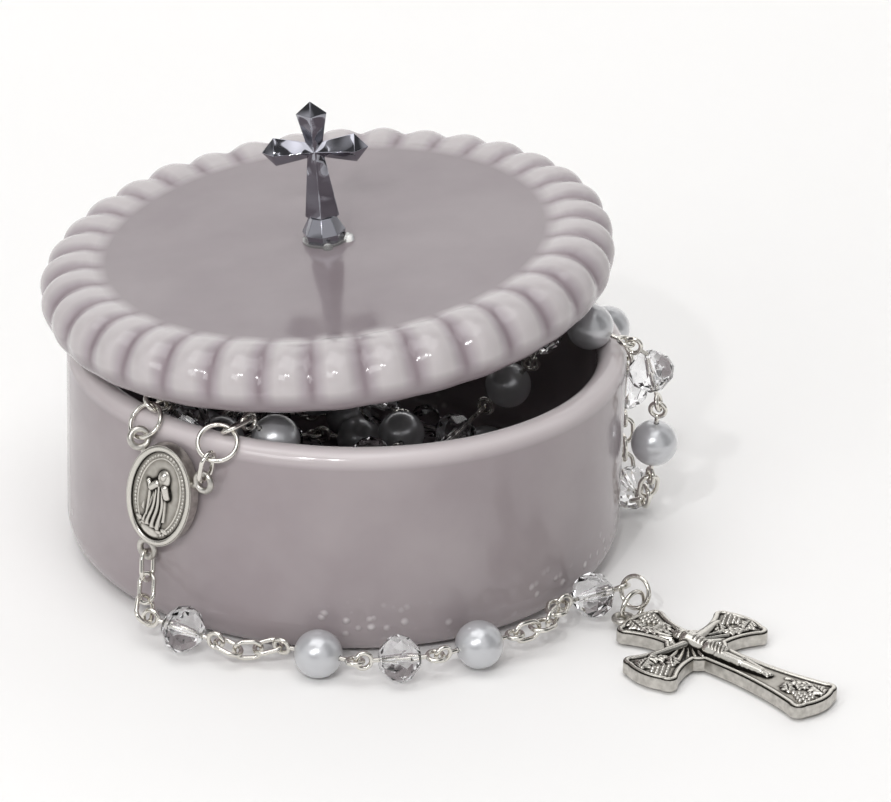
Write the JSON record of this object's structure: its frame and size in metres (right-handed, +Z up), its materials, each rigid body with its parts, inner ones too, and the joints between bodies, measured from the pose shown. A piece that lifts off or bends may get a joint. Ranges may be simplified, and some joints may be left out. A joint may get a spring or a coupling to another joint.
{
  "type": "rosary box",
  "caption": "Small round glazed ceramic box with a lobed lid and a cross on it, holding a rosary of pearls and crystals that hangs over its rim.",
  "frame": {"origin": "centre of the box's foot, on the surface it stands on", "axes": "+Z up along the box's axis, -Y towards the viewer's front, +X to the right as seen from the front"},
  "size_m": [0.1321, 0.1154, 0.0796],
  "materials": {
    "box_glaze": "pale lilac-grey gloss glaze",
    "lid_glaze": "pale lilac-grey gloss glaze, mauve in the grooves",
    "bright_casting": "bright plated die casting",
    "clear_glue": "clear set glue",
    "old_silver": "oxidised silver, dark in the hollows",
    "pearl": "pearl lustre",
    "crystal": "clear cut glass",
    "wire": "bright silver-coloured wire"
  },
  "bodies": {
    "box": {"box_body": "box_glaze"},
    "rosary": {"center_medal": "old_silver", "left_ring": "wire", "left_rim_link": "wire", "right_link": "wire", "right_ring": "wire", "right_rim_link": "wire", "medal_links": "wire", "rim_pearl": "pearl", "rim_pearl_pin": "wire", "rim_crystal": "crystal", "rim_crystal_pin": "wire", "lower_pearl": "pearl", "lower_pearl_pin": "wire", "back_chain": "wire", "back_crystal": "crystal", "back_eye_pin": "wire", "pile_pearls": "pearl", "pile_crystals": "crystal", "pile_eye_pins": "wire", "pile_chain_links": "wire"},
    "lid": {"lid": "lid_glaze", "cross_finial": "bright_casting", "finial_glue": "clear_glue"},
    "tail_1": {"tail_pin_1": "wire", "tail_links_1": "wire"},
    "bead_1": {"tail_crystal_1": "crystal"},
    "tail_2": {"tail_pin_2": "wire"},
    "bead_2": {"tail_pearl_2": "pearl"},
    "tail_3": {"tail_pin_3": "wire"},
    "bead_3": {"tail_crystal_3": "crystal"},
    "tail_4": {"tail_pin_4": "wire", "tail_links_2": "wire"},
    "bead_4": {"tail_pearl_4": "pearl"},
    "tail_5": {"tail_pin_5": "wire", "crucifix_ring_1": "wire", "crucifix_ring_2": "wire"},
    "bead_5": {"tail_crystal_5": "crystal"},
    "cross": {"crucifix": "old_silver"}
  },
  "joints": [
    {"name": "rosary_lift", "type": "slide", "parent": "box", "child": "rosary", "axis": [0, 0, 1], "range_m": [0, 0.06]},
    {"name": "lid_lift", "type": "slide", "parent": "rosary", "child": "lid", "axis": [0, 0, 1], "range_m": [0, 0.08]},
    {"name": "tail_1_swing", "type": "hinge", "parent": "rosary", "child": "tail_1", "pos_m": [-0.03244, -0.04315, 0.00566], "axis": [0, 0, -1], "range_deg": [0, 20]},
    {"name": "tail_2_swing", "type": "hinge", "parent": "tail_1", "child": "tail_2", "pos_m": [-0.01083, -0.04894, 0.00372], "axis": [0, 0, -1], "range_deg": [0, 20]},
    {"name": "tail_3_swing", "type": "hinge", "parent": "tail_2", "child": "tail_3", "pos_m": [0.00242, -0.05561, 0.00441], "axis": [0, 0, -1], "range_deg": [0, 20]},
    {"name": "tail_4_swing", "type": "hinge", "parent": "tail_3", "child": "tail_4", "pos_m": [0.01548, -0.05285, 0.00426], "axis": [0, 0, -1], "range_deg": [0, 20]},
    {"name": "tail_5_swing", "type": "hinge", "parent": "tail_4", "child": "tail_5", "pos_m": [0.03583, -0.03552, 0.00531], "axis": [0, 0, -1], "range_deg": [0, 20]},
    {"name": "bead_1_spin", "type": "hinge", "parent": "tail_1", "child": "bead_1", "pos_m": [-0.02586, -0.04606, 0.00476], "axis": [0.9075, -0.4011, -0.1243], "continuous": true},
    {"name": "bead_2_spin", "type": "hinge", "parent": "tail_2", "child": "bead_2", "pos_m": [-0.00369, -0.05253, 0.0041], "axis": [0.8922, -0.4493, 0.0465], "continuous": true},
    {"name": "bead_3_spin", "type": "hinge", "parent": "tail_3", "child": "bead_3", "pos_m": [0.00951, -0.05412, 0.00433], "axis": [0.9784, 0.2065, -0.0119], "continuous": true},
    {"name": "bead_4_spin", "type": "hinge", "parent": "tail_4", "child": "bead_4", "pos_m": [0.02251, -0.04905, 0.00456], "axis": [0.8788, 0.4756, 0.0386], "continuous": true},
    {"name": "bead_5_spin", "type": "hinge", "parent": "tail_5", "child": "bead_5", "pos_m": [0.04178, -0.03139, 0.00507], "axis": [0.8207, 0.5704, -0.0329], "continuous": true},
    {"name": "crucifix_swing", "type": "hinge", "parent": "tail_5", "child": "cross", "pos_m": [0.04689, -0.03366, 0.0019], "axis": [-0.682, -0.7314, 0], "range_deg": [0, 24]}
  ]
}
